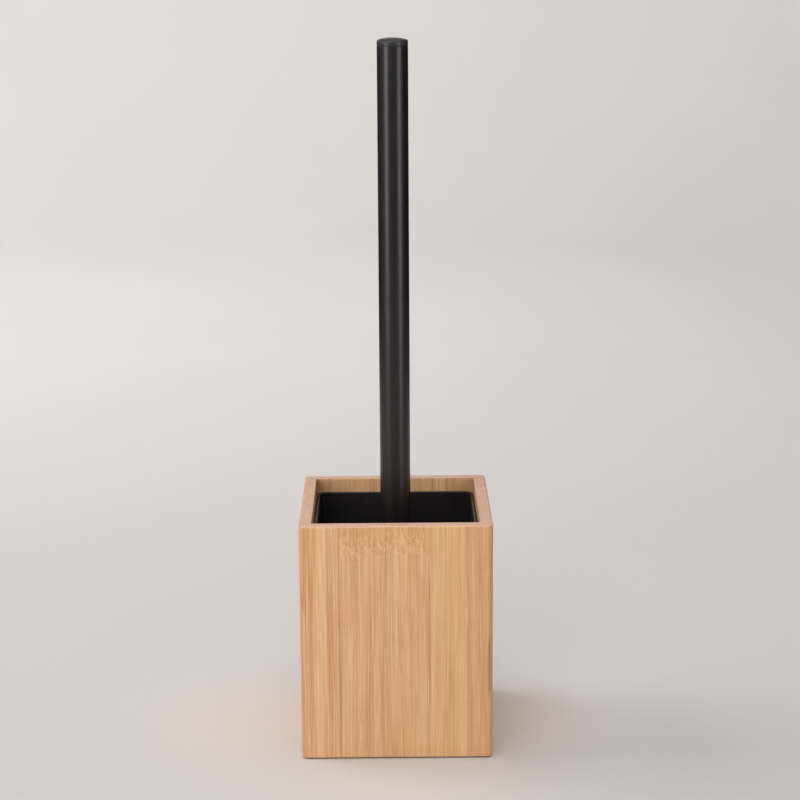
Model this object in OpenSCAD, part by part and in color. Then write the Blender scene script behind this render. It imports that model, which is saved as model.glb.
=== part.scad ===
// Toilet brush set: a square bamboo box, a lift-out liner and a brush whose head unscrews.
// Origin: middle of the base, on the floor. +Z up, front towards -Y. Millimetres.

/* [Bamboo box] */
// Outer width and depth of the box
box_w = 100; // [94:1:120]
// Height of the rim above the floor
box_h = 127; // [125:1:150]
// Thickness of the four wall boards
wall_t = 6.5; // [5:0.5:8]
// Thickness of the base board
base_t = 6; // [4:0.5:7]
// Radius of the four upright edges
edge_r = 3; // [2:0.5:5]
// Radius of the outer edge of the rim
rim_r = 1; // [0.5:0.25:2]
// Radius of the outer edge at the foot of the walls
hem_r = 0.75; // [0.5:0.25:3]
// Bevel on the inner edge of the rim
rim_bevel = 0.6; // [0.3:0.1:1.5]

/* [Foot pads] */
// Diameter of one foot pad
pad_d = 10; // [6:1:14]
// Thickness of one foot pad
pad_t = 2; // [1:0.5:3]
// Height of the wall boards above the floor
wall_clear = 0.5; // [0.2:0.1:0.9]

/* [Liner] */
// Gap between the liner rim and each wall
liner_gap = 0.5; // [0.3:0.1:1]
// Wall thickness of the liner
liner_t = 1.2; // [1:0.1:2.2]
// Thickness of the liner floor
liner_floor_t = 2; // [1.5:0.5:3]
// Depth of the liner rim below the box rim
liner_drop = 7.4; // [5:0.1:12]
// Corner radius of the liner rim
liner_corner_r = 5; // [4.5:0.1:9]
// Inward lean of each liner wall from top to bottom
liner_draft = 1.5; // [0.5:0.1:1.5]
// Width that the rim stands out from the liner wall
rim_lip = 0.4; // [0.2:0.1:1]
// Height of the rim band
rim_band_h = 3; // [2:0.5:6]

/* [Brush head] */
// Diameter over the bristle tips
head_d = 74; // [68:1:75]
// Diameter of the core that holds the tufts
core_d = 28; // [27:1:30]
// Height between two rows of tufts
row_pitch = 8; // [7:0.5:8]
// Tufts in one row on the barrel
row_tufts = 16; // [12:1:16]
// Diameter of a tuft hole
tuft_d = 3; // [2:0.1:3]
// Diameter of a tuft at its tips
tuft_tip_d = 9; // [5:0.5:9]
// Depth of a tuft hole
tuft_depth = 5; // [4:0.5:5]

/* [Handle] */
// Overall height of the set
total_h = 371; // [330:1:400]
// Outer diameter of the handle tube
tube_d = 16; // [15:0.5:18]
// Wall thickness of the handle tube
tube_t = 0.8; // [0.6:0.1:1]
// Height of the cap that shows above the tube
cap_h = 4; // [3:0.1:6]
// Outer diameter of the screw thread
thread_d = 12; // [10:0.5:12]
// Rise of the screw thread in one turn
thread_pitch = 2; // [1.5:0.5:2]
// Length of screw thread in the neck
thread_l = 12; // [10:2:12]

/* [Hidden] */
$fn = 72;
TUFT_ROWS = 6;

// Colours
BAMBOO = [0.82, 0.62, 0.42];
LINER_BLACK = [0.07, 0.07, 0.07];
PAINT_BLACK = [0.11, 0.10, 0.10];
BRISTLE_BLACK = [0.05, 0.05, 0.05];
PAD_GREY = [0.75, 0.75, 0.72];
WASHER_GREY = [0.3, 0.3, 0.3];
ANCHOR_STEEL = [0.7, 0.7, 0.7];

// Heights in the box, from the floor up
base_z = pad_t;
liner_z = base_z + base_t;
liner_top = box_h - liner_drop;
liner_inside_z = liner_z + liner_floor_t;
inner_w = box_w - 2 * wall_t;
pad_inset = 10;
pad_pos = inner_w / 2 - pad_inset;

// Liner plan: corner centres stay in place and the corner radius carries the draft
rim_half = inner_w / 2 - liner_gap;
corner_c = rim_half - liner_corner_r;
wall_r_top = liner_corner_r - rim_lip;
wall_r_low = wall_r_top - liner_draft;
liner_bevel = 2;

// Brush head, from the bristle tips up
tip_gap = 0.3;
tips_z = liner_inside_z + tip_gap;
core_r = core_d / 2;
dome_z = tips_z + head_d / 2 - 3.3;
first_row_z = dome_z + 3;
barrel_top = first_row_z + (TUFT_ROWS - 1) * row_pitch + 5;
shoulder_h = 7;
neck_h = 9;
neck_z = barrel_top + shoulder_h;
neck_top = neck_z + neck_h;
neck_r = tube_d / 2;
socket_r = thread_d / 2 + 0.05;
socket_depth = thread_l + 2;

// Rings of tufts on the dome: angle from straight down, and number of tufts
RING_OUTER = [75, 14];
RING_MIDDLE = [50, 12];
RING_INNER = [25, 6];
RING_TIP = [0, 1];

// Anchor: a flat piece of wire that the tuft folds over, at the bottom of its hole
anchor_w = 2.6;
anchor_h = 1.2;
anchor_t = 0.4;

// Joint between head and handle, upwards from the neck
washer_t = 1;
flange_t = 1.5;
flange_z = neck_top + washer_t;
tube_z = flange_z + flange_t;
cap_z = total_h - cap_h;
tube_bore_r = tube_d / 2 - tube_t;
spigot_r = tube_bore_r - 0.05;
plug_spigot_l = 18;
cap_spigot_l = 12;
thread_root_r = thread_d / 2 - 0.9;

// ---------- shared shapes ----------

// Block centred on the axis from z0 to z1 with its four upright edges rounded to r
module upright_block(half, r, z0, z1) {
    translate([0, 0, z0]) linear_extrude(z1 - z0) union() {
        square([2 * half, 2 * (half - r)], center = true);
        square([2 * (half - r), 2 * half], center = true);
        for (x = [-1, 1], y = [-1, 1])
            translate([x * (half - r), y * (half - r)]) circle(r);
    }
}

// Side view of the box: half width half, round foot corners of radius low and rim corners of radius high
module box_side_view(half, z0, z1, low, high) {
    translate([-half, z0 + low]) square([2 * half, z1 - z0 - low - high]);
    translate([-half + low, z0]) square([2 * (half - low), low]);
    translate([-half + high, z1 - high]) square([2 * (half - high), high]);
    for (x = [-1, 1]) {
        translate([x * (half - low), z0 + low]) circle(low);
        translate([x * (half - high), z1 - high]) circle(high);
    }
}

// Prism along Y with the given side view in X and Z
module along_y(length) {
    rotate([90, 0, 0]) linear_extrude(length, center = true) children();
}

// The whole box with all of its outer edges rounded
module box_outside() {
    half = box_w / 2;
    intersection() {
        upright_block(half, edge_r, wall_clear, box_h);
        along_y(box_w) box_side_view(half, wall_clear, box_h, hem_r, rim_r);
        rotate([0, 0, 90]) along_y(box_w) box_side_view(half, wall_clear, box_h, hem_r, rim_r);
    }
}

// Side view of the space inside the box, wider by the bevel at the rim
module cavity_side_view() {
    w = inner_w / 2;
    polygon([
        [-w, -1], [w, -1], [w, box_h - rim_bevel], [w + rim_bevel + 1, box_h + 1],
        [-w - rim_bevel - 1, box_h + 1], [-w, box_h - rim_bevel]
    ]);
}

module box_cavity() {
    intersection() {
        along_y(2 * box_w) cavity_side_view();
        rotate([0, 0, 90]) along_y(2 * box_w) cavity_side_view();
    }
}

// One wall board: the slab from y0 to y1 of the box, as long as length in X
module wall_board(length, y0, y1) {
    difference() {
        intersection() {
            box_outside();
            translate([-length / 2, y0, 0]) cube([length, y1 - y0, box_h + 1]);
        }
        box_cavity();
    }
}

// Solid with straight sloping sides and round corners: corner radius r0 at z0 and r1 at z1
module sloping_block(c, r0, r1, z0, z1) {
    h = z1 - z0;
    for (x = [-1, 1], y = [-1, 1])
        translate([x * c, y * c, z0]) cylinder(h = h, r1 = r0, r2 = r1);
    for (turn = [0, 90])
        rotate([0, 0, turn]) along_y(2 * c)
            polygon([[-c - r0, z0], [c + r0, z0], [c + r1, z1], [-c - r1, z1]]);
}

// ---------- bamboo box ----------

module front_panel() {
    color(BAMBOO) wall_board(box_w, -box_w / 2, -inner_w / 2);
}

module back_panel() {
    color(BAMBOO) wall_board(box_w, inner_w / 2, box_w / 2);
}

// Side board in the place of the left one; it stands between the front and back boards
module side_board() {
    difference() {
        intersection() {
            box_outside();
            translate([-box_w / 2, -inner_w / 2, 0]) cube([wall_t, inner_w, box_h + 1]);
        }
        box_cavity();
    }
}

module left_panel() {
    color(BAMBOO) side_board();
}

module right_panel() {
    color(BAMBOO) mirror([1, 0, 0]) side_board();
}

module base_panel() {
    color(BAMBOO) translate([-inner_w / 2, -inner_w / 2, base_z]) cube([inner_w, inner_w, base_t]);
}

// Foot pad number n, counted from the front left, clockwise from above
module foot_pad(n) {
    x = n == 1 || n == 2 ? -pad_pos : pad_pos;
    y = n == 1 || n == 4 ? -pad_pos : pad_pos;
    rim = 0.4;
    color(PAD_GREY) translate([x, y, 0]) {
        cylinder(h = rim, r1 = pad_d / 2 - rim, r2 = pad_d / 2);
        translate([0, 0, rim]) cylinder(h = pad_t - rim, d = pad_d);
    }
}

// ---------- liner ----------

module liner() {
    wall_r_bevel = wall_r_low - liner_bevel;
    inside_r_top = wall_r_top - liner_t;
    inside_r_low = wall_r_low - liner_t;
    color(LINER_BLACK) difference() {
        union() {
            sloping_block(corner_c, wall_r_bevel, wall_r_low, liner_z, liner_z + liner_bevel);
            sloping_block(corner_c, wall_r_low, wall_r_top, liner_z + liner_bevel, liner_top);
            sloping_block(corner_c, liner_corner_r, liner_corner_r, liner_top - rim_band_h, liner_top);
        }
        sloping_block(corner_c, inside_r_low, inside_r_top, liner_inside_z, liner_top);
        sloping_block(corner_c, inside_r_top, inside_r_top, liner_top, liner_top + 1);
    }
}

// ---------- brush head ----------

// Distance from the dome centre to the bristle tips, in the direction a from straight down
function tip_reach(a) =
    let (across = sin(a) / (head_d / 2), down = cos(a) / (dome_z - tips_z))
    1 / sqrt(across * across + down * down);

// Places its children at each of n even steps about the axis, turned by first.
// They point along +Z, from the centre height z, at the angle a from straight down.
module around(n, first, z, a) {
    for (i = [0 : n - 1])
        translate([0, 0, z]) rotate([0, 0, first + i * 360 / n]) rotate([0, 180 - a, 0]) children();
}

// One tuft: a bundle that starts at its anchor, fills the mouth of its hole and spreads to the tips at reach
module tuft(reach) {
    root = core_r - tuft_depth + anchor_h;
    spread = (tuft_tip_d - tuft_d) / (reach - core_r);
    root_d = tuft_d - spread * (core_r - root);
    translate([0, 0, root]) cylinder(h = reach - root, d1 = root_d, d2 = tuft_tip_d, $fn = 24);
}

module tuft_hole() {
    translate([0, 0, core_r - tuft_depth]) cylinder(h = tuft_depth + 2, d = tuft_d, $fn = 24);
}

module tuft_anchor() {
    translate([-anchor_t / 2, -anchor_w / 2, core_r - tuft_depth]) cube([anchor_t, anchor_w, anchor_h]);
}

// Every second row is turned by half a step
function row_z(n) = first_row_z + (n - 1) * row_pitch;
function row_turn(n) = (n % 2) * 180 / row_tufts;

module in_row(n) {
    around(row_tufts, row_turn(n), row_z(n), 90) children();
}

module in_ring(ring) {
    around(ring[1], 0, dome_z, ring[0]) children();
}

module in_every_place() {
    for (n = [1 : TUFT_ROWS]) in_row(n) children();
    for (ring = [RING_OUTER, RING_MIDDLE, RING_INNER, RING_TIP]) in_ring(ring) children();
}

module core_body() {
    translate([0, 0, dome_z]) sphere(core_r);
    translate([0, 0, dome_z]) cylinder(h = barrel_top - dome_z, r = core_r);
    translate([0, 0, barrel_top]) cylinder(h = shoulder_h, r1 = core_r, r2 = neck_r);
    translate([0, 0, neck_z]) cylinder(h = neck_h, r = neck_r);
}

module brush_core() {
    color(LINER_BLACK) difference() {
        core_body();
        translate([0, 0, neck_top - socket_depth]) cylinder(h = socket_depth + 1, r = socket_r);
        in_every_place() tuft_hole();
    }
}

module tuft_anchors() {
    color(ANCHOR_STEEL) in_every_place() tuft_anchor();
}

module tuft_row(n) {
    color(BRISTLE_BLACK) in_row(n) tuft(head_d / 2);
}

module tuft_ring(ring) {
    color(BRISTLE_BLACK) in_ring(ring) tuft(tip_reach(ring[0]));
}

// ---------- handle ----------

module seal_washer() {
    color(WASHER_GREY) translate([0, 0, neck_top]) difference() {
        cylinder(h = washer_t, r = neck_r);
        translate([0, 0, -1]) cylinder(h = washer_t + 2, r = socket_r);
    }
}

// Screw thread as a stack of rings, one for each turn
module thread_rings(z0, length) {
    crest_r = thread_d / 2;
    for (i = [0 : length / thread_pitch - 1])
        translate([0, 0, z0 + i * thread_pitch]) {
            cylinder(h = thread_pitch / 2, r1 = thread_root_r, r2 = crest_r);
            translate([0, 0, thread_pitch / 2])
                cylinder(h = thread_pitch / 2, r1 = crest_r, r2 = thread_root_r);
        }
}

module handle_plug() {
    color(LINER_BLACK) {
        translate([0, 0, flange_z]) cylinder(h = flange_t, r = neck_r);
        translate([0, 0, tube_z]) cylinder(h = plug_spigot_l, r = spigot_r);
        translate([0, 0, neck_top - thread_l]) cylinder(h = thread_l + washer_t, r = thread_root_r);
        thread_rings(neck_top - thread_l, thread_l);
    }
}

module handle_tube() {
    color(PAINT_BLACK) translate([0, 0, tube_z]) difference() {
        cylinder(h = cap_z - tube_z, r = tube_d / 2);
        translate([0, 0, -1]) cylinder(h = cap_z - tube_z + 2, r = tube_bore_r);
    }
}

// Cap: a low dome with a round edge, and a narrow groove above the tube, on a spigot inside the tube
module handle_cap() {
    groove = 0.3;
    edge = 1.3;
    r = tube_d / 2;
    // the arc of the edge runs smoothly into the arc of the dome
    dome_r = 3.5 * r;
    lean = asin((r - edge) / (dome_r - edge));
    edge_z = total_h - dome_r + (dome_r - edge) * cos(lean);
    steps = 6;
    spigot = [
        [0, cap_z - cap_spigot_l],
        [spigot_r, cap_z - cap_spigot_l],
        [spigot_r, cap_z],
        [r - groove, cap_z],
        [r - groove, cap_z + groove],
        [r, cap_z + groove]
    ];
    round_edge = [
        for (k = [0 : steps])
            let (a = (90 - lean) * k / steps)
            [r - edge + edge * cos(a), edge_z + edge * sin(a)]
    ];
    dome = [
        for (k = [1 : steps])
            let (a = 90 - lean + lean * k / steps)
            [dome_r * cos(a), total_h - dome_r + dome_r * sin(a)]
    ];
    color(PAINT_BLACK) rotate_extrude() polygon(concat(spigot, round_edge, dome));
}

// ---------- assembly ----------

front_panel();
back_panel();
left_panel();
right_panel();
base_panel();
for (n = [1 : 4]) foot_pad(n);
liner();
brush_core();
tuft_anchors();
for (n = [1 : TUFT_ROWS]) tuft_row(n);
tuft_ring(RING_OUTER);  // tuft_ring_outer
tuft_ring(RING_MIDDLE);  // tuft_ring_middle
tuft_ring(RING_INNER);  // tuft_ring_inner
tuft_ring(RING_TIP);  // tuft_tip
seal_washer();
handle_plug();
handle_tube();
handle_cap();
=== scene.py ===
"""Looks of a toilet brush set: a bamboo box, its lift-out liner, and a brush on a black tube handle."""
import math

import bpy
from mathutils import Matrix, Vector


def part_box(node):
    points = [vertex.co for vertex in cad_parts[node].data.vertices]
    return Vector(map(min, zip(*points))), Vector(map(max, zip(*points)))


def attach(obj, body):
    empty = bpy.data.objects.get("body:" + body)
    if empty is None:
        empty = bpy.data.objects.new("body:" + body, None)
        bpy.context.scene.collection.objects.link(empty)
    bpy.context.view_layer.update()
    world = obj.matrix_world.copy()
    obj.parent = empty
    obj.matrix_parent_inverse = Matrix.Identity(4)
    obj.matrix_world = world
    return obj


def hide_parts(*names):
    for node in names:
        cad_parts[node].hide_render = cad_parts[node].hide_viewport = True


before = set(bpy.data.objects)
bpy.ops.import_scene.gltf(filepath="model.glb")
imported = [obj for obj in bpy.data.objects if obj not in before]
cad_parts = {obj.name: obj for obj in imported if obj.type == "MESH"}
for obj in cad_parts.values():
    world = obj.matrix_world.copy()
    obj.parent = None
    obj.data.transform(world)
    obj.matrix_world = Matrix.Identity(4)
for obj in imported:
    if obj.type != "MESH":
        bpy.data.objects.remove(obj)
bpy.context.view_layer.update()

MM = 0.001


# ---------- node trees: one wrapper for sockets and one for trees ----------

class Value:
    """A node's output socket in an expression: its operators add Math nodes to the tree."""

    def __init__(self, graph, socket):
        self.graph = graph
        self.socket = socket

    def math(self, operation, *others):
        return self.graph.math(operation, self, *others)

    def out(self, name):
        """Another output of the same node."""
        return Value(self.graph, self.socket.node.outputs[name])

    def __add__(self, other):
        return self.math("ADD", other)

    def __sub__(self, other):
        return self.math("SUBTRACT", other)

    def __rsub__(self, other):
        return self.graph.math("SUBTRACT", other, self)

    def __mul__(self, other):
        return self.math("MULTIPLY", other)

    def __truediv__(self, other):
        return self.math("DIVIDE", other)

    def __gt__(self, other):
        return self.math("GREATER_THAN", other)

    def __lt__(self, other):
        return self.math("LESS_THAN", other)

    __radd__ = __add__
    __rmul__ = __mul__


class Graph:
    """Adds nodes to a shader tree or a geometry tree."""

    MIX_COLOURS = ("Factor_Float", "A_Color", "B_Color", "Result_Color")

    def __init__(self, tree):
        self.tree = tree

    def add(self, kind, settings=None, inputs=None, output=0):
        """Adds a node: its settings first, then the values or links of its sockets, by name or number."""
        node = self.tree.nodes.new(kind)
        for key, value in (settings or {}).items():
            if key == "stops":
                self.set_stops(node.color_ramp.elements, value)
            else:
                setattr(node, key, value)
        for key, value in (inputs or {}).items():
            socket = node.inputs[key]
            if isinstance(value, Value):
                self.tree.links.new(value.socket, socket)
            else:
                socket.default_value = value
        return Value(self, node.outputs[output]) if node.outputs else node

    @staticmethod
    def set_stops(elements, stops):
        while len(elements) < len(stops):
            elements.new(1.0)
        for element, (position, colour) in zip(elements, stops):
            element.position = position
            element.color = colour

    def math(self, operation, *values):
        return self.add("ShaderNodeMath", {"operation": operation}, dict(enumerate(values)))

    def scaled(self, vector, factor):
        return self.add("ShaderNodeVectorMath", {"operation": "SCALE"}, {"Vector": vector, "Scale": factor})

    def parts(self, vector):
        x = self.add("ShaderNodeSeparateXYZ", inputs={0: vector})
        return x, x.out("Y"), x.out("Z")

    def vector(self, x, y, z):
        return self.add("ShaderNodeCombineXYZ", inputs={"X": x, "Y": y, "Z": z})

    def ease(self, value, start, end, low=0.0, high=1.0):
        """Goes smoothly from low to high as value goes from start to end."""
        return self.add("ShaderNodeMapRange", {"interpolation_type": "SMOOTHSTEP"},
                        {"Value": value, "From Min": start, "From Max": end, "To Min": low, "To Max": high})


class Finish(Graph):
    """One procedural material. Its coordinates are the piece's own, in millimetres."""

    def __init__(self, name):
        self.material = bpy.data.materials.new(name)
        self.material.use_nodes = True
        super().__init__(self.material.node_tree)
        self.tree.nodes.clear()
        coordinates = self.add("ShaderNodeTexCoord", output="Object")
        self.face = coordinates.out("Normal")
        self.place = self.scaled(coordinates, 1 / MM)

    def noise(self, vector, scale=1.0, detail=2.0, roughness=0.5, output=0):
        return self.add("ShaderNodeTexNoise", inputs={"Vector": vector, "Scale": scale, "Detail": detail,
                                                      "Roughness": roughness}, output=output)

    def grains(self, vector, scale):
        """Distance to the nearest of scattered points."""
        return self.add("ShaderNodeTexVoronoi", inputs={"Vector": vector, "Scale": scale})

    def mix(self, factor, first, second, blend="MIX"):
        node = self.tree.nodes.new("ShaderNodeMix")
        node.data_type = "RGBA"
        node.blend_type = blend
        sockets = {s.identifier: s for s in node.inputs}
        for name, value in zip(self.MIX_COLOURS, (factor, first, second)):
            if isinstance(value, Value):
                self.tree.links.new(value.socket, sockets[name])
            else:
                sockets[name].default_value = value
        result = next(s for s in node.outputs if s.identifier == self.MIX_COLOURS[3])
        return Value(self, result)

    def bump(self, height, distance, strength=1.0):
        return self.add("ShaderNodeBump",
                        inputs={"Height": height, "Distance": distance, "Strength": strength})

    def close(self, **sockets):
        """Joins the shader to the output; underscores in the names stand for spaces."""
        shader = self.add("ShaderNodeBsdfPrincipled",
                          inputs={name.replace("_", " "): value for name, value in sockets.items()})
        self.add("ShaderNodeOutputMaterial", inputs={"Surface": shader})
        return self.material


def rgb(red, green, blue):
    """A colour as a display shows it, 0 to 255, turned into the linear values that shaders use."""
    def linear(c):
        c = c / 255
        return c / 12.92 if c <= 0.04045 else ((c + 0.055) / 1.055) ** 2.4
    return (linear(red), linear(green), linear(blue), 1.0)


# ---------- materials ----------

def bamboo(name, turned, seed, joints, knuckles, tones_and_painted_light, stains_and_edge_shade=()):
    """Pressed bamboo strips with upright fibres, under thin matt lacquer.

    turned: angle about +Z that brings the board's face onto the XZ plane.
    joints: glue lines across the board, in mm. Each strip between them has its own knuckle height in mm
    and its own tone, from 0 to 1; on the back board, pale tones on the right-hand strips are painted light.
    The last argument lists marks by middle, half width, lower end, upper end and strength: stains, and on
    the front board two full-height bands of painted shade along its rounded side edges.
    """
    f = Finish(name)
    across, through, along = f.parts(f.add("ShaderNodeMapping", inputs={"Vector": f.place,
                                                                       "Rotation": (0, 0, turned)}))
    drift = f.noise(f.vector(0.0, 0.0, along / 30), detail=1) - 0.5
    edge = across + drift * 0.4

    # which strip this is, and how far the nearest glue line lies
    strip = edge > joints[0]
    to_joint = (edge - joints[0]).math("ABSOLUTE")
    for joint in joints[1:]:
        strip = strip + (edge > joint)
        to_joint = to_joint.math("MINIMUM", (edge - joint).math("ABSOLUTE"))

    def per_strip(values):
        total = strip.math("COMPARE", 0.0, 0.5) * values[0]
        for number, value in enumerate(values[1:], 1):
            total = total + strip.math("COMPARE", float(number), 0.5) * value
        return total

    tone = f.add("ShaderNodeTexWhiteNoise", {"noise_dimensions": "1D"}, {"W": strip + seed * 10.37}, "Color")
    rosiness, strawiness, tilt = f.parts(tone)

    # height above the knuckle of this strip, with a ragged edge
    ragged = f.noise(f.vector(across / 5, strip, 0.0), detail=2) - 0.5
    above = along - per_strip(knuckles) + ragged * 11
    near_knuckle = f.ease(above.math("ABSOLUTE"), 10.0, 1.0)

    # fibres lean and wander a little, and part round the knuckle
    wander = (f.noise(f.vector(across / 22, strip * 5, along / 85), detail=1) - 0.5) * 1.6
    swirl = (f.noise(f.vector(across / 1.5, strip * 3, above / 3.6), detail=2) - 0.5) * 3.0
    fibre = across + along * (tilt - 0.5) * 0.016 + wander + swirl * near_knuckle
    offset = strip * 37.7 + seed * 13.1

    def streaks(width, length, detail, roughness=0.6):
        return f.noise(f.vector(fibre / width + offset, through / width, along / length + offset),
                       detail=detail, roughness=roughness)

    broad = streaks(4.2, 260, 1.5)
    middle = streaks(1.1, 75, 2)
    fine = streaks(0.42, 38, 2, 0.7)
    dashes = f.ease(streaks(0.27, 16, 1), 0.63, 0.75)
    pale_hairs = f.ease(streaks(0.33, 34, 1), 0.61, 0.73)

    grain = broad * 0.27 + middle * 0.33 + fine * 0.40
    colour = f.add("ShaderNodeValToRGB", {"stops": [
        (0.34, rgb(180, 124, 76)), (0.45, rgb(203, 152, 106)), (0.53, rgb(216, 170, 127)),
        (0.64, rgb(232, 194, 151))]}, {"Fac": grain})
    colour = f.mix(f.ease(rosiness, 0.2, 0.9) * 0.14, colour, rgb(214, 152, 108))
    straw = f.ease(strawiness + (broad - 0.5) * 1.6, 0.4, 0.9)
    colour = f.mix(straw * 0.38, colour, rgb(206, 166, 112))
    # Strip tones; the back board's pale right-hand strips are painted light on the inside of that wall.
    colour = f.mix(per_strip(tones_and_painted_light), colour, rgb(176, 124, 80))
    colour = f.mix(dashes * 0.36, colour, rgb(158, 104, 60))
    colour = f.mix(pale_hairs * 0.34, colour, rgb(242, 210, 166))

    # the knuckle: fine petals, with short orange fibres above them
    petals = f.noise(f.vector(fibre / 1.1 + offset, through / 3, above / 3.0), detail=2)
    colour = f.mix(near_knuckle * f.ease(petals, 0.48, 0.66) * 0.34, colour, rgb(236, 196, 148))
    colour = f.mix(near_knuckle * f.ease(petals, 0.50, 0.36) * 0.30, colour, rgb(190, 132, 80))
    crown = f.ease(above, 1.0, 6.0) * f.ease(above, 16.0, 8.0)
    colour = f.mix(crown * f.ease(streaks(0.5, 7, 1), 0.5, 0.66) * 0.45, colour, rgb(192, 124, 66))

    # glue lines, stronger in some places than in others
    line_strength = f.ease(f.noise(f.vector(strip * 9, 0.0, along / 22), detail=1), 0.35, 0.65, 0.3, 1.0)
    line = f.ease(to_joint, 0.45, 0.08) * line_strength
    colour = f.mix(line * 0.45, colour, rgb(150, 98, 58))
    # The marks: stains, and on the front board two full-height bands along the rounded side edges that are
    # painted shade.
    for middle_x, half_width, low, high, strength in stains_and_edge_shade:
        patch = f.ease((across - middle_x).math("ABSOLUTE"), half_width, 0.0)
        patch = patch * f.ease(along, low - 5, low + 5) * f.ease(along, high + 5, high - 5)
        colour = f.mix(patch * f.ease(fine, 0.3, 0.6) * strength, colour, rgb(160, 92, 58))

    # end grain: dots of cut fibres on a duller, pinker ground
    end_grain = f.ease(f.parts(f.face)[2].math("ABSOLUTE"), 0.55, 0.85)
    cut_fibres = f.grains(f.vector(across, through, along / 30), 1.9)
    cloudy = f.noise(f.vector(across / 6, through / 3, seed), detail=2)
    pale_end = f.mix(f.ease(cloudy, 0.3, 0.7), rgb(216, 176, 151), rgb(205, 168, 140))
    pale_end = f.mix(f.ease(cut_fibres, 0.34, 0.16) * 0.28, pale_end, rgb(158, 110, 78))
    colour = f.mix(end_grain, colour, pale_end)

    relief = fine * 0.5 + middle * 0.5 - dashes * 0.35 - line * 0.9
    return f.close(Base_Color=colour, Roughness=0.40 + grain * 0.22 + dashes * 0.1,
                   Normal=f.bump(relief, 0.05 * MM, 0.6), Specular_IOR_Level=0.45)


def black_paint():
    """Satin black powder coat on steel: very fine orange peel, and faint wiped patches."""
    f = Finish("black_paint")
    peel = f.noise(f.place, 1.6, detail=2)
    speckle = f.noise(f.place, 7.0, detail=1)
    wiped = f.noise(f.vector(*[p / s for p, s in zip(f.parts(f.place), (9, 9, 34))]), detail=3)
    colour = f.mix(f.ease(speckle, 0.35, 0.7) * 0.5, rgb(21, 16, 17), rgb(30, 25, 26))
    return f.close(Base_Color=colour, Roughness=0.27 + wiped * 0.10 + speckle * 0.05,
                   Normal=f.bump(peel, 0.03 * MM, 0.35), Specular_IOR_Level=0.5)


def cap_plastic():
    """Satin black moulded cap, with a faint turned pattern on its top."""
    f = Finish("cap_plastic")
    x, y, z = f.parts(f.place)
    radius = (x * x + y * y).math("SQRT")
    rings = f.noise(f.vector(radius * 3.0, 0.0, z / 4), detail=2)
    grain = f.noise(f.place, 5.0, detail=2)
    colour = f.mix(grain * 0.6, rgb(34, 32, 32), rgb(48, 45, 45))
    return f.close(Base_Color=colour, Roughness=0.34 + grain * 0.08 + rings * 0.06,
                   Normal=f.bump(grain * 0.5 + rings * 0.5, 0.03 * MM, 0.4), Specular_IOR_Level=0.5)


def moulded_plastic(name, dark, light, roughness, texture_scale):
    """Moulded polypropylene: a fine spark-eroded skin and slow changes of gloss."""
    f = Finish(name)
    skin = f.noise(f.place, texture_scale, detail=3, roughness=0.6)
    slow = f.noise(f.place, 0.06, detail=2)
    scuffs = f.ease(f.noise(f.vector(*[p / s for p, s in zip(f.parts(f.place), (1.2, 1.2, 18))]), detail=3),
                    0.60, 0.72)
    colour = f.mix(skin * 0.7, dark, light)
    colour = f.mix(scuffs * 0.25, colour, light)
    return f.close(Base_Color=colour, Roughness=roughness + (slow - 0.5) * 0.16 + scuffs * 0.08,
                   Normal=f.bump(skin, 0.03 * MM, 0.5), Specular_IOR_Level=0.45)


def bristle_plastic():
    """Black plastic bristle: each one a slightly different black, greyer at the cut tips."""
    f = Finish("bristle_plastic")
    x, y, z = f.parts(f.place)
    shade = f.noise(f.place, 0.9, detail=2)
    from_axis = (x * x + y * y).math("SQRT")
    tips = f.ease(from_axis, 35.0, 37.5)
    colour = f.mix(f.ease(shade, 0.3, 0.7), rgb(24, 23, 23), rgb(44, 42, 42))
    colour = f.mix(tips * 0.35, colour, rgb(86, 84, 82))
    return f.close(Base_Color=colour, Roughness=0.32 + shade * 0.18,
                   Normal=f.bump(f.noise(f.place, 3.0), 0.02 * MM, 0.4), Specular_IOR_Level=0.5)


def rubber(name, dark, light, pore_scale):
    """Soft rubber with open pores."""
    f = Finish(name)
    pores = f.grains(f.place, pore_scale)
    dust = f.noise(f.place, 0.7, detail=3)
    colour = f.mix(f.ease(dust, 0.3, 0.7), dark, light)
    colour = f.mix(f.ease(pores, 0.28, 0.08) * 0.5, colour, dark)
    return f.close(Base_Color=colour, Roughness=0.72 + dust * 0.16,
                   Normal=f.bump(f.ease(pores, 0.05, 0.35), 0.08 * MM, 0.7), Specular_IOR_Level=0.3)


def anchor_wire():
    """Flat galvanised wire with drawing marks and a dull zinc mottle."""
    f = Finish("anchor_wire")
    mottle = f.grains(f.place, 2.2)
    marks = f.noise(f.vector(*[p / s for p, s in zip(f.parts(f.place), (0.2, 0.2, 3))]), detail=2)
    colour = f.mix(f.ease(mottle, 0.2, 0.7), rgb(150, 152, 154), rgb(182, 184, 186))
    return f.close(Base_Color=colour, Metallic=1.0, Roughness=0.34 + marks * 0.2,
                   Normal=f.bump(marks, 0.02 * MM, 0.4))


def backdrop_paint():
    """Plain pale studio floor and wall."""
    f = Finish("backdrop_paint")
    cloud = f.noise(f.place, 0.004, detail=1)
    colour = f.mix(cloud, rgb(232, 228, 226), rgb(236, 232, 230))
    return f.close(Base_Color=colour, Roughness=0.85 + cloud * 0.05, Specular_IOR_Level=0.0)


def card_paint():
    """Dull black card."""
    f = Finish("card_paint")
    fibres = f.noise(f.place, 0.2, detail=2)
    return f.close(Base_Color=f.mix(fibres, rgb(20, 18, 18), rgb(28, 26, 26)), Roughness=0.9,
                   Specular_IOR_Level=0.0)


# ---------- meshes: rings joined into closed solids ----------

CORNER_STEPS = 5
ROUND_STEPS = 5
TURNED_STEPS = 96


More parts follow.
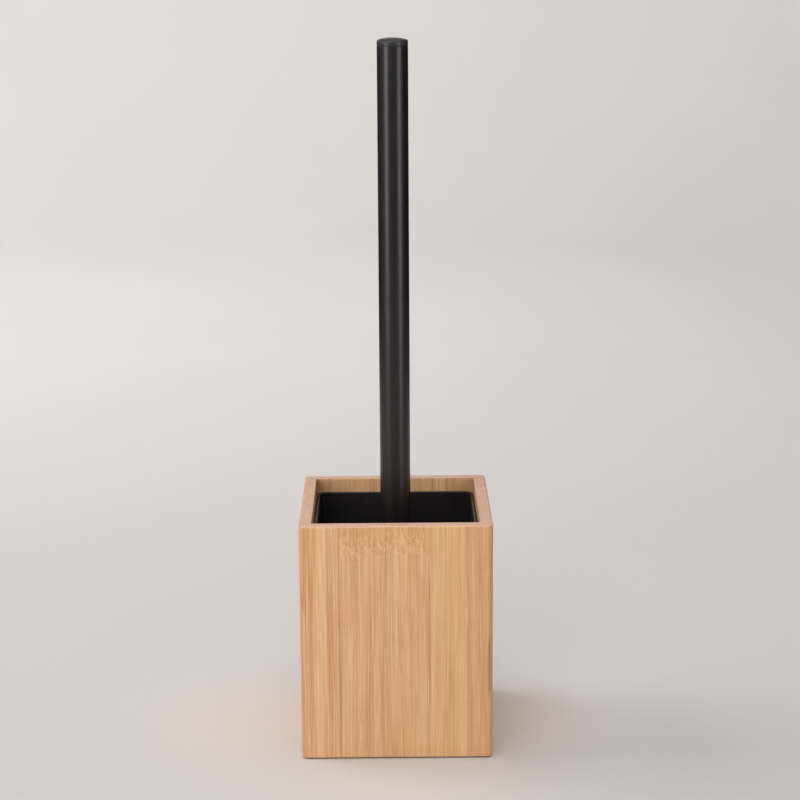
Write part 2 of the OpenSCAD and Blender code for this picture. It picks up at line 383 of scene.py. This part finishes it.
def piece(name, points, faces, material, *, body, stands_for, slot):
    """A finished piece of the object: smooth, with its large faces kept flat."""
    mesh = bpy.data.meshes.new(name)
    mesh.from_pydata(points, [], faces)
    return dress(bpy.data.objects.new(name, mesh), material, body, stands_for)


def dress(obj, material, body, stands_for):
    """Links a piece, and sets its finish, its body and the CAD nodes that it stands for."""
    bpy.context.scene.collection.objects.link(obj)
    obj.data.validate()
    obj.data.materials.clear()
    obj.data.materials.append(material)
    obj.data.polygons.foreach_set("use_smooth", [True] * len(obj.data.polygons))
    weighted = obj.modifiers.new("flat faces stay flat", "WEIGHTED_NORMAL")
    weighted.weight = 100
    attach(obj, body)
    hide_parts(*stands_for)
    return obj


def loft(rings):
    """Points and faces of a closed solid through rings of equal length, capped at both ends."""
    count = len(rings[0])
    points = [p for ring in rings for p in ring]
    faces = [tuple(reversed(range(count)))]
    for low in range(0, len(points) - count, count):
        for i in range(count):
            j = (i + 1) % count
            faces.append((low + i, low + j, low + count + j, low + count + i))
    faces.append(tuple(range(len(points) - count, len(points))))
    return points, faces


def turned(profile):
    """Points and faces of a profile of (radius, height) turned about the axis.

    A profile that starts and ends on the axis gives a solid; any other is closed into a ring.
    """
    points, starts = [], []
    for radius, height in profile:
        starts.append(len(points))
        if radius == 0:
            points.append((0.0, 0.0, height))
            continue
        for i in range(TURNED_STEPS):
            a = 2 * math.pi * i / TURNED_STEPS
            points.append((radius * math.cos(a), radius * math.sin(a), height))
    solid = profile[0][0] == 0
    faces = []
    for k in range(len(profile) if not solid else len(profile) - 1):
        low, high = starts[k], starts[(k + 1) % len(profile)]
        low_pole, high_pole = profile[k][0] == 0, profile[(k + 1) % len(profile)][0] == 0
        for i in range(TURNED_STEPS):
            j = (i + 1) % TURNED_STEPS
            if low_pole:
                faces.append((low, high + j, high + i))
            elif high_pole:
                faces.append((low + i, low + j, high))
            else:
                faces.append((low + i, low + j, high + j, high + i))
    return points, faces


def arc(centre_r, centre_z, radius, start, end, steps=ROUND_STEPS):
    """Points of (radius, height) along an arc, with its angles in degrees."""
    angles = [math.radians(start + (end - start) * i / steps) for i in range(steps + 1)]
    return [(centre_r + radius * math.cos(a), centre_z + radius * math.sin(a)) for a in angles]


def rounded_rectangle(x0, x1, y0, y1, z, radii):
    """Ring of points at height z, anticlockwise from the front left corner, as the radii go."""
    ring = []
    corners = ((x0, y0, 1, 1, 180), (x1, y0, -1, 1, 270), (x1, y1, -1, -1, 0), (x0, y1, 1, -1, 90))
    for (x, y, in_x, in_y, start), r in zip(corners, radii):
        for px, py in arc(x + in_x * r, y + in_y * r, r, start, start + 90, CORNER_STEPS):
            ring.append((px, py, z))
    return ring


def set_back(distance, radius):
    """How far a rounded edge of that radius stands back, at that distance from its end."""
    if distance >= radius:
        return 0.0
    return radius - math.sqrt(radius ** 2 - (radius - distance) ** 2)


# ---------- bamboo box ----------

EDGE_R, RIM_R, HEM_R = 3 * MM, 1 * MM, 0.75 * MM
INNER_RIM_R = 0.4 * MM
ARRIS_R = 0.15 * MM


def board_heights(low, high):
    """Heights of a board's rings: close together where its edges are rounded."""
    quarter = [math.pi / 2 * k / ROUND_STEPS for k in range(ROUND_STEPS + 1)]
    heights = {low + r * (1 - math.cos(a)) for r in (HEM_R, ARRIS_R) for a in quarter}
    heights |= {high - r * (1 - math.cos(a)) for r in (RIM_R, INNER_RIM_R, ARRIS_R) for a in quarter}
    return sorted(heights)


def wall_board(name, node, sides, material):
    """One board. sides tells for -X, +X, -Y and +Y whether that side is outer, inner or a joint."""
    low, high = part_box(node)
    rounding = {"outer": (HEM_R, RIM_R), "inner": (ARRIS_R, INNER_RIM_R), "joint": (ARRIS_R, ARRIS_R)}
    rings = []
    for z in board_heights(low.z, high.z):
        back = [max(set_back(z - low.z, rounding[s][0]), set_back(high.z - z, rounding[s][1]))
                for s in sides]
        left, right, front, rear = back
        pairs = ((0, 2), (1, 2), (1, 3), (0, 3))
        radii = [EDGE_R - back[a] if sides[a] == sides[b] == "outer" else ARRIS_R for a, b in pairs]
        rings.append(rounded_rectangle(low.x + left, high.x - right, low.y + front, high.y - rear, z, radii))
    points, faces = loft(rings)
    return piece(name, points, faces, material, body="holder", stands_for=[node], slot="bamboo")


def make_box():
    quarter_turn = math.pi / 2
    # Front: the two full-height marks at -49.6 and 49.6 mm are painted shade on the rounded side edges; the
    # other marks are stains.
    front = bamboo("bamboo_front", 0.0, 1, (-29.5, -5.2, 17.0, 37.0), (-90, 115, 117, 260, -60),
                   (0.0, 0.09, 0.07, 0.0, 0.30),
                   ((48.2, 1.4, 36, 66, 0.8), (-48.6, 1.2, 82, 92, 0.6), (49.6, 2.2, 0, 127, 0.35),
                    (-49.6, 2.2, 0, 127, 0.30), (-29.3, 0.7, 4, 60, 0.5), (17.2, 0.7, 30, 100, 0.5)))
    # Back: the pale tones of its three right-hand strips are painted light on the inside of the back wall.
    back = bamboo("bamboo_back", 0.0, 2, (-36.0, -14.0, 8.5, 29.0), (-70, 300, 44, -120, 250),
                  (0.1, 0.0, 0.12, 0.0, 0.03))
    left = bamboo("bamboo_left", quarter_turn, 3, (-24.0, -2.0, 21.0), (260, 88, -80, -60),
                  (0.05, 0.14, 0.0, 0.18))
    right = bamboo("bamboo_right", quarter_turn, 4, (-19.0, 4.0, 26.5), (-60, 280, 61, 300),
                   (0.12, 0.0, 0.08, 0.2))
    base = bamboo("bamboo_base", 0.0, 5, (-21.0, 1.5, 24.0), (-200, -200, -200, -200),
                  (0.1, 0.0, 0.15, 0.05))
    wall_board("front_board", "front_panel", ("outer", "outer", "outer", "inner"), front)
    wall_board("back_board", "back_panel", ("outer", "outer", "inner", "outer"), back)
    wall_board("left_board", "left_panel", ("outer", "inner", "joint", "joint"), left)
    wall_board("right_board", "right_panel", ("inner", "outer", "joint", "joint"), right)
    paint_cad_node("base_panel", base)


def make_foot_pads(material):
    edge = 0.4 * MM
    for n in range(1, 5):
        low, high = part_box(f"foot_pad_{n}")
        centre = (low + high) / 2
        r = (high.x - low.x) / 2
        profile = [(0, low.z), *arc(r - edge, low.z + edge, edge, -90, 0), (r, high.z), (0, high.z)]
        points, faces = turned(profile)
        points = [(x + centre.x, y + centre.y, z) for x, y, z in points]
        piece(f"foam_pad_{n}", points, faces, material, body="holder",
              stands_for=[f"foot_pad_{n}"], slot="pad_rubber")


# ---------- liner ----------

LINER_CORNER_R = 5 * MM
LINER_LIP = 0.4 * MM
LINER_DRAFT = 1.5 * MM
LINER_T = 1.2 * MM
LINER_FLOOR_T = 2 * MM
LINER_BAND = 3 * MM
LINER_HEEL_R = 2 * MM


def make_liner(material):
    """Square cup: its corner centres stay put and the corner radius carries the draft."""
    low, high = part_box("liner")
    corner = high.x - LINER_CORNER_R
    lip_r = LINER_CORNER_R
    wall_r = lip_r - LINER_LIP
    foot_r = wall_r - LINER_DRAFT
    inside_top, inside_foot = wall_r - LINER_T, foot_r - LINER_T
    floor = low.z + LINER_FLOOR_T
    round_r, lip_round, fillet = 0.3 * MM, 0.5 * MM, 1.0 * MM
    band = high.z - LINER_BAND
    profile = [
        *arc(foot_r - LINER_HEEL_R, low.z + LINER_HEEL_R, LINER_HEEL_R, -90, 0),
        (wall_r - 0.03 * MM, band - round_r),
        *arc(lip_r - round_r, band + round_r, round_r, -90, 0),
        *arc(lip_r - lip_round, high.z - lip_round, lip_round, 0, 90),
        *arc(inside_top + lip_round, high.z - lip_round, lip_round, 90, 180),
        *arc(inside_foot - fillet, floor + fillet, fillet, 0, -90),
    ]
    rings = []
    for r, z in profile:
        reach = corner + r
        rings.append(rounded_rectangle(-reach, reach, -reach, reach, z, (r,) * 4))
    points, faces = loft(rings)
    piece("liner_cup", points, faces, material, body="liner", stands_for=["liner"], slot="liner_plastic")


# ---------- brush head ----------

GOLDEN_ANGLE = math.pi * (3 - math.sqrt(5))
BRISTLES = 44
BRISTLE_D = 0.42 * MM
MOUTH_R = 1.38 * MM
SPREAD_R = 4.2 * MM
ROOT_DEPTH = 3.6 * MM
ROW_TUFTS = 16


def new_tree(name, inputs):
    """A geometry tree with named inputs. Returns it with its graph and the input values by name."""
    tree = bpy.data.node_groups.new(name, "GeometryNodeTree")
    for label, kind in inputs.items():
        tree.interface.new_socket(label, in_out="INPUT", socket_type=kind)
    tree.interface.new_socket("Geometry", in_out="OUTPUT", socket_type="NodeSocketGeometry")
    graph = Graph(tree)
    first = graph.add("NodeGroupInput")
    return tree, graph, {label: first.out(label) for label in inputs}


def finish_tree(graph, geometry, material):
    """Ends a tree in plain geometry with its material."""
    real = graph.add("GeometryNodeRealizeInstances", inputs={"Geometry": geometry})
    painted = graph.add("GeometryNodeSetMaterial", inputs={"Geometry": real, "Material": material})
    graph.add("NodeGroupOutput", inputs={"Geometry": painted})


def grow(name, tree, values):
    """Runs a tree with these input values and returns an object that holds the result as a plain mesh."""
    carrier = bpy.data.objects.new(name + "_carrier", bpy.data.meshes.new(name + "_carrier"))
    bpy.context.scene.collection.objects.link(carrier)
    modifier = carrier.modifiers.new("grow", "NODES")
    modifier.node_group = tree
    for item in tree.interface.items_tree:
        if item.in_out == "INPUT":
            modifier[item.identifier] = values[item.name]
    evaluated = carrier.evaluated_get(bpy.context.evaluated_depsgraph_get())
    mesh = bpy.data.meshes.new_from_object(evaluated)
    mesh.name = name
    bpy.data.objects.remove(carrier)
    return bpy.data.objects.new(name, mesh)


def bristle_tree(material):
    """A ring of tufts: each a bundle of bristles that leaves its hole and spreads to the tips."""
    tree, g, given = new_tree("bristles", {
        "Tufts": "NodeSocketInt", "Bristles": "NodeSocketInt", "Centre height": "NodeSocketFloat",
        "Angle from down": "NodeSocketFloat", "First turn": "NodeSocketFloat",
        "Start": "NodeSocketFloat", "Mouth": "NodeSocketFloat", "Reach": "NodeSocketFloat",
        "Mouth radius": "NodeSocketFloat", "Spread radius": "NodeSocketFloat",
        "Thickness": "NodeSocketFloat", "Seed": "NodeSocketInt"})

    def random(low, high, seed_step, item):
        return g.add("FunctionNodeRandomValue", {"data_type": "FLOAT"},
                     {2: low, 3: high, "ID": item, "Seed": given["Seed"] + seed_step}, output=1)

    line = g.add("GeometryNodeCurvePrimitiveLine", inputs={"Start": (0, 0, 0), "End": (0, 0, 1)})
    line = g.add("GeometryNodeResampleCurve", inputs={"Curve": line, "Count": 5})
    bundle = g.add("GeometryNodeDuplicateElements", {"domain": "SPLINE"},
                   {"Geometry": line, "Amount": given["Bristles"]})
    number = bundle.out("Duplicate Index")
    step = g.add("GeometryNodeSplineParameter", output="Factor")

    length = given["Reach"] - given["Start"] + random(-0.5 * MM, 0.0, 1, number)
    height = step * length
    past_mouth = ((height - (given["Mouth"] - given["Start"])) / (given["Reach"] - given["Mouth"]))
    opening = past_mouth.math("MAXIMUM", 0.0).math("POWER", 1.25)
    ring = ((number + 0.5) / given["Bristles"]).math("SQRT")
    radius = ring * (given["Mouth radius"] + opening * (given["Spread radius"] - given["Mouth radius"]))
    turn = number * GOLDEN_ANGLE + random(-0.3, 0.3, 2, number)
    stray = opening * random(-0.5 * MM, 0.5 * MM, 3, number)
    place = g.vector(turn.math("COSINE") * radius + stray, turn.math("SINE") * radius - stray, height
                     + given["Start"])
    bundle = g.add("GeometryNodeSetPosition", inputs={"Geometry": bundle, "Position": place})
    thread = g.add("GeometryNodeCurvePrimitiveCircle", {"mode": "RADIUS"},
                   {"Resolution": 4, "Radius": given["Thickness"] / 2})
    tuft = g.add("GeometryNodeCurveToMesh", inputs={"Curve": bundle, "Profile Curve": thread,
                                                    "Fill Caps": True})

    points = g.add("GeometryNodePoints", inputs={"Count": given["Tufts"],
                                                 "Position": g.vector(0.0, 0.0, given["Centre height"])})
    index = g.add("GeometryNodeInputIndex")
    azimuth = given["First turn"] + index * (2 * math.pi) / given["Tufts"]
    aim = g.add("FunctionNodeEulerToRotation",
                inputs={"Euler": g.vector(0.0, math.pi - given["Angle from down"], azimuth)})
    spin = g.add("FunctionNodeEulerToRotation",
                 inputs={"Euler": g.vector(0.0, 0.0, random(0.0, 6.28, 4, index))})
    aim = g.add("FunctionNodeRotateRotation", {"rotation_space": "LOCAL"},
                {"Rotation": aim, "Rotate By": spin})
    tufts = g.add("GeometryNodeInstanceOnPoints",
                  inputs={"Points": points, "Instance": tuft, "Rotation": aim})
    finish_tree(g, tufts, material)
    return tree


def thread_tree(material):
    """A screw thread: a ridge that follows a helix and sinks into its root at both ends."""
    tree, g, given = new_tree("screw_thread", {
        "Radius": "NodeSocketFloat", "Pitch": "NodeSocketFloat", "Turns": "NodeSocketFloat",
        "Start height": "NodeSocketFloat", "First turn": "NodeSocketFloat",
        "Ridge height": "NodeSocketFloat", "Ridge width": "NodeSocketFloat",
        "Crest width": "NodeSocketFloat"})
    helix = g.add("GeometryNodeCurveSpiral", inputs={
        "Resolution": 48, "Rotations": given["Turns"], "Start Radius": given["Radius"],
        "End Radius": given["Radius"], "Height": given["Pitch"] * given["Turns"], "Reverse": False})
    helix = g.add("GeometryNodeSetCurveNormal", {"mode": "Z_UP"}, {"Curve": helix})
    along = g.add("GeometryNodeSplineParameter", output="Factor")
    run_out = (along * 14).math("MINIMUM", (1 - along) * 14).math("MINIMUM", 1.0)
    x, y, z = g.parts(g.add("GeometryNodeInputPosition"))
    sunk = 1 - (1 - run_out) * given["Ridge height"] * 0.7 / given["Radius"]
    helix = g.add("GeometryNodeSetPosition", inputs={"Geometry": helix,
                                                     "Position": g.vector(x * sunk, y * sunk, z)})
    profile = g.add("GeometryNodeCurvePrimitiveQuadrilateral", {"mode": "TRAPEZOID"}, {
        "Bottom Width": given["Ridge width"], "Top Width": given["Crest width"],
        "Height": given["Ridge height"], "Offset": 0.0})
    profile = g.add("GeometryNodeTransform", inputs={"Geometry": profile, "Rotation": (0, 0, math.pi / 2)})
    ridge = g.add("GeometryNodeCurveToMesh",
                  inputs={"Curve": helix, "Profile Curve": profile, "Fill Caps": True, "Scale": run_out})
    ridge = g.add("GeometryNodeTransform", inputs={
        "Geometry": ridge, "Translation": g.vector(0.0, 0.0, given["Start height"]),
        "Rotation": g.vector(0.0, 0.0, given["First turn"])})
    finish_tree(g, ridge, material)
    return tree


def make_bristles(material):
    """One piece for each CAD tuft node, with its tufts in the same holes."""
    tree = bristle_tree(material)
    core_low, core_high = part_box("brush_core")
    core_r = core_high.x
    dome = core_low.z + core_r
    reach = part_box("tuft_row_2")[1].x
    tip_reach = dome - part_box("tuft_tip")[0].z

    def reach_at(angle):
        across, down = math.sin(angle) / reach, math.cos(angle) / tip_reach
        return 1 / math.hypot(across, down)

    shared = {"Bristles": BRISTLES, "Start": core_r - ROOT_DEPTH, "Mouth": core_r, "Mouth radius": MOUTH_R,
              "Spread radius": SPREAD_R, "Thickness": BRISTLE_D}
    rings = []
    for n in range(1, 7):
        low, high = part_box(f"tuft_row_{n}")
        first = n % 2 * math.pi / ROW_TUFTS
        rings.append((f"tuft_row_{n}", ROW_TUFTS, (low.z + high.z) / 2, 90.0, first))
    for node, tufts, angle in (("tuft_ring_outer", 14, 75.0), ("tuft_ring_middle", 12, 50.0),
                               ("tuft_ring_inner", 6, 25.0), ("tuft_tip", 1, 0.0)):
        rings.append((node, tufts, dome, angle, 0.0))
    for seed, (node, tufts, height, angle, first) in enumerate(rings):
        angle = math.radians(angle)
        obj = grow(node.replace("tuft", "bristles"), tree, {
            **shared, "Tufts": tufts, "Centre height": height, "Angle from down": angle,
            "First turn": first, "Reach": reach_at(angle), "Seed": seed * 10})
        dress(obj, material, "brush_head", [node])


def smooth_copy(name, node, material, body):
    """A copy of a CAD node with its loose triangles joined, smooth except at its real edges."""
    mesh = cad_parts[node].data.copy()
    mesh.name = name
    joined = bpy.data.objects.new(name, mesh)
    weld = joined.modifiers.new("join", "WELD")
    weld.merge_threshold = 0.002 * MM
    bpy.context.scene.collection.objects.link(joined)
    welded = bpy.data.meshes.new_from_object(joined.evaluated_get(bpy.context.evaluated_depsgraph_get()))
    bpy.data.objects.remove(joined)
    obj = dress(bpy.data.objects.new(name, welded), material, body, [node])
    welded.set_sharp_from_angle(angle=math.radians(32))
    return obj


# ---------- handle ----------

THREAD_PITCH = 2 * MM
THREAD_R = 6 * MM
THREAD_ROOT_R = 5.1 * MM
THREAD_FOOT_W, THREAD_CREST_W = 1.4 * MM, 0.3 * MM
TUBE_T = 0.8 * MM
SPIGOT_GAP = 0.05 * MM
CAP_EDGE_R, CAP_GROOVE, CAP_ARRIS_R = 1.3 * MM, 0.2 * MM, 0.12 * MM
CAP_DOME_R = 28 * MM


def make_handle(paint, cap, plug, washer):
    tube_low, tube_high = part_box("handle_tube")
    tube_r = tube_high.x
    bore_r = tube_r - TUBE_T
    spigot_r = bore_r - SPIGOT_GAP
    lip = 0.2 * MM
    profile = [
        *arc(tube_r - lip, tube_low.z + lip, lip, -90, 0),
        *arc(tube_r - lip, tube_high.z - lip, lip, 0, 90),
        *arc(bore_r + lip, tube_high.z - lip, lip, 90, 180),
        *arc(bore_r + lip, tube_low.z + lip, lip, 180, 270),
    ]
    piece("tube", *turned(profile), paint, body="handle", stands_for=["handle_tube"], slot="black_paint")

    cap_low, cap_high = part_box("handle_cap")
    groove_r = tube_r - CAP_GROOVE
    lean = math.asin((tube_r - CAP_EDGE_R) / (CAP_DOME_R - CAP_EDGE_R))
    edge_z = cap_high.z - CAP_DOME_R + (CAP_DOME_R - CAP_EDGE_R) * math.cos(lean)
    meet = 90 - math.degrees(lean)
    profile = [
        (0, cap_low.z), *arc(spigot_r - lip, cap_low.z + lip, lip, -90, 0), (spigot_r, tube_high.z),
        (groove_r, tube_high.z), (groove_r, tube_high.z + CAP_GROOVE * 0.7),
        *arc(tube_r - CAP_ARRIS_R, tube_high.z + CAP_GROOVE + CAP_ARRIS_R, CAP_ARRIS_R, -90, 0, 3),
        *arc(tube_r - CAP_EDGE_R, edge_z, CAP_EDGE_R, 0, meet, 8),
        *arc(0, cap_high.z - CAP_DOME_R, CAP_DOME_R, meet, 90, 8)[1:-1], (0, cap_high.z),
    ]
    piece("cap", *turned(profile), cap, body="handle", stands_for=["handle_cap"], slot="cap_plastic")

    plug_low, plug_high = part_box("handle_plug")
    washer_low, washer_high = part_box("seal_washer")
    small = 0.25 * MM
    profile = [
        (0, plug_low.z), *arc(THREAD_ROOT_R - 2 * small, plug_low.z + 2 * small, 2 * small, -90, 0),
        (THREAD_ROOT_R, washer_high.z),
        *arc(tube_r - small, washer_high.z + small, small, -90, 0),
        *arc(tube_r - small, tube_low.z - small, small, 0, 90), (spigot_r, tube_low.z),
        *arc(spigot_r - small, plug_high.z - small, small, 0, 90), (0, plug_high.z),
    ]
    piece("plug", *turned(profile), plug, body="handle", stands_for=["handle_plug"], slot="plug_plastic")

    hole_r = THREAD_R + SPIGOT_GAP
    profile = [
        *arc(tube_r - small, washer_low.z + small, small, -90, 0),
        *arc(tube_r - small, washer_high.z - small, small, 0, 90),
        *arc(hole_r + small, washer_high.z - small, small, 90, 180),
        *arc(hole_r + small, washer_low.z + small, small, 180, 270),
    ]
    piece("washer", *turned(profile), washer, body="seal_washer", stands_for=["seal_washer"],
          slot="washer_rubber")


def make_thread(material):
    """The ridge on the plug, from just above its lower end to just below the top of the neck."""
    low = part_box("handle_plug")[0].z
    neck_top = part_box("seal_washer")[0].z
    height = THREAD_R - THREAD_ROOT_R
    obj = grow("plug_thread", thread_tree(material), {
        "Radius": THREAD_R - height / 2, "Pitch": THREAD_PITCH, "Turns": (neck_top - low) / THREAD_PITCH - 1,
        "Start height": low + 0.6 * MM, "First turn": 0.0, "Ridge height": height,
        "Ridge width": THREAD_FOOT_W, "Crest width": THREAD_CREST_W})
    dress(obj, material, "handle", [])


# ---------- the set ----------

def paint_cad_node(node, material):
    """Gives a CAD node that stays in sight its material."""
    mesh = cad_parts[node].data
    mesh.materials.clear()
    mesh.materials.append(material)


make_box()
make_foot_pads(rubber("pad_foam", rgb(150, 147, 140), rgb(186, 183, 176), 2.4))
make_liner(moulded_plastic("liner_plastic", rgb(20, 18, 18), rgb(34, 31, 31), 0.42, 2.6))
core_plastic = moulded_plastic("core_plastic", rgb(18, 17, 17), rgb(32, 30, 30), 0.38, 3.0)
smooth_copy("core", "brush_core", core_plastic, "brush_head")
make_bristles(bristle_plastic())
paint_cad_node("tuft_anchors", anchor_wire())
plug_plastic = moulded_plastic("plug_plastic", rgb(20, 19, 19), rgb(36, 34, 34), 0.36, 3.4)
make_handle(black_paint(), cap_plastic(), plug_plastic, rubber("washer_rubber", rgb(26, 25, 25),
                                                               rgb(46, 44, 43), 5.0))
make_thread(plug_plastic)


# ---------- studio ----------

STAGE_R = 2.4
SWEEP_R = 0.7
WALL_H = 2.6
STAGE_T = 0.05
CARD_T = 0.01
CARD_STEPS = 12


def make_stage():
    """Round floor that sweeps up into a wall, the same from every side."""
    profile = [(0.0, 0.0), (0.5, 0.0), (1.0, 0.0)]
    profile += arc(STAGE_R - SWEEP_R, SWEEP_R, SWEEP_R, -90, 0, 16)
    profile += [(STAGE_R, WALL_H)]
    points, faces = turned(profile + [(STAGE_R + STAGE_T, WALL_H), (STAGE_R + STAGE_T, -STAGE_T),
                                       (0.0, -STAGE_T)])
    mesh = bpy.data.meshes.new("backdrop")
    mesh.from_pydata(points, [], [tuple(reversed(f)) for f in faces])
    mesh.polygons.foreach_set("use_smooth", [True] * len(mesh.polygons))
    mesh.materials.append(backdrop_paint())
    backdrop = bpy.data.objects.new("backdrop", mesh)
    bpy.context.scene.collection.objects.link(backdrop)
    return backdrop


def dark_card(name, radius, start, end, low, high):
    """A curved black card round the object that only shows in reflections; its angles are in degrees."""
    outer = radius + CARD_T
    rings = []
    for k in range(CARD_STEPS + 1):
        a = math.radians(start + (end - start) * k / CARD_STEPS)
        section = ((radius, low), (outer, low), (outer, high), (radius, high))
        rings.append([(r * math.sin(a), -r * math.cos(a), z) for r, z in section])
    points, faces = loft(rings)
    mesh = bpy.data.meshes.new(name)
    mesh.from_pydata(points, [], faces)
    mesh.materials.append(card_paint())
    card = bpy.data.objects.new(name, mesh)
    card.visible_camera = card.visible_diffuse = card.visible_shadow = False
    card.visible_transmission = card.visible_volume_scatter = False
    bpy.context.scene.collection.objects.link(card)


def make_cards():
    """Dark sides and a dark front for the handle to reflect."""
    dark_card("left_card", 0.45, -75, -168, 0.09, 0.45)
    dark_card("right_card", 0.45, 75, 168, 0.09, 0.45)
    dark_card("front_card", 1.2, -38, 36, 0.0, 0.5)


def softbox(name, place, aim, size, power):
    """A rectangular area light, out of the camera's sight."""
    light = bpy.data.lights.new(name, "AREA")
    light.shape = "RECTANGLE"
    light.size, light.size_y = size
    light.energy = power
    obj = bpy.data.objects.new(name, light)
    obj.location = place
    obj.rotation_mode = "QUATERNION"
    obj.rotation_quaternion = (Vector(place) - Vector(aim)).to_track_quat("Z", "Y")
    obj.visible_camera = False
    bpy.context.scene.collection.objects.link(obj)
    return obj


def keep_off(light, surface):
    """Stops a light that stands on the floor from burning a patch into the floor beside it."""
    unlit = bpy.data.collections.new("unlit_by_" + light.name)
    unlit.objects.link(surface)
    unlit.collection_objects[0].light_linking.link_state = "EXCLUDE"
    light.light_linking.receiver_collection = unlit


def make_lights(backdrop):
    middle = (0, 0, 0.15)
    left = softbox("left_strip", (-0.70, -0.60, 0.52), middle, (0.27, 1.0), 5.3)
    right = softbox("right_strip", (0.58, -0.52, 0.32), middle, (0.20, 0.7), 2.0)
    softbox("front_fill", (-0.3, -1.5, 1.1), (0, -0.1, 0.05), (0.9, 0.9), 5.4)
    softbox("overhead", (0.0, -0.16, 1.94), middle, (1.6, 1.6), 15.8)
    softbox("wall_wash", (-0.5, 1.0, 1.5), (0.0, 2.4, 0.7), (0.8, 0.8), 10.6)
    softbox("left_window", (-1.6, 0.5, 1.0), (0, 0.8, 0.2), (1.4, 1.4), 14.0)
    keep_off(left, backdrop)
    keep_off(right, backdrop)
    world = bpy.data.worlds.new("studio")
    world.use_nodes = True
    background = world.node_tree.nodes["Background"]
    background.inputs["Color"].default_value = (1.0, 0.98, 0.965, 1.0)
    background.inputs["Strength"].default_value = 0.04
    bpy.context.scene.world = world


CAMERA_AZIMUTH, CAMERA_ELEVATION, CAMERA_ROLL = map(math.radians, (-0.31, 13.13, -0.35))
CAMERA_DISTANCE = 1.1037
CAMERA_TARGET = Vector((0.0028, 0.0, 0.1817))
CAMERA_LENS = 93.9


def make_camera():
    a, e = CAMERA_AZIMUTH, CAMERA_ELEVATION
    back = Vector((math.sin(a) * math.cos(e), -math.cos(a) * math.cos(e), math.sin(e)))
    right = (-back).cross(Vector((0, 0, 1))).normalized()
    up = right.cross(-back)
    rolled_right = math.cos(CAMERA_ROLL) * right + math.sin(CAMERA_ROLL) * up
    rolled_up = math.cos(CAMERA_ROLL) * up - math.sin(CAMERA_ROLL) * right
    data = bpy.data.cameras.new("camera")
    data.lens = CAMERA_LENS
    data.sensor_width = 36.0
    data.clip_start, data.clip_end = 0.05, 20
    camera = bpy.data.objects.new("camera", data)
    turn = Matrix((rolled_right, rolled_up, back)).transposed().to_4x4()
    camera.matrix_world = Matrix.Translation(CAMERA_TARGET + back * CAMERA_DISTANCE) @ turn
    bpy.context.scene.collection.objects.link(camera)
    bpy.context.scene.camera = camera


make_cards()
make_lights(make_stage())
make_camera()
bpy.context.scene.view_settings.view_transform = "Standard"
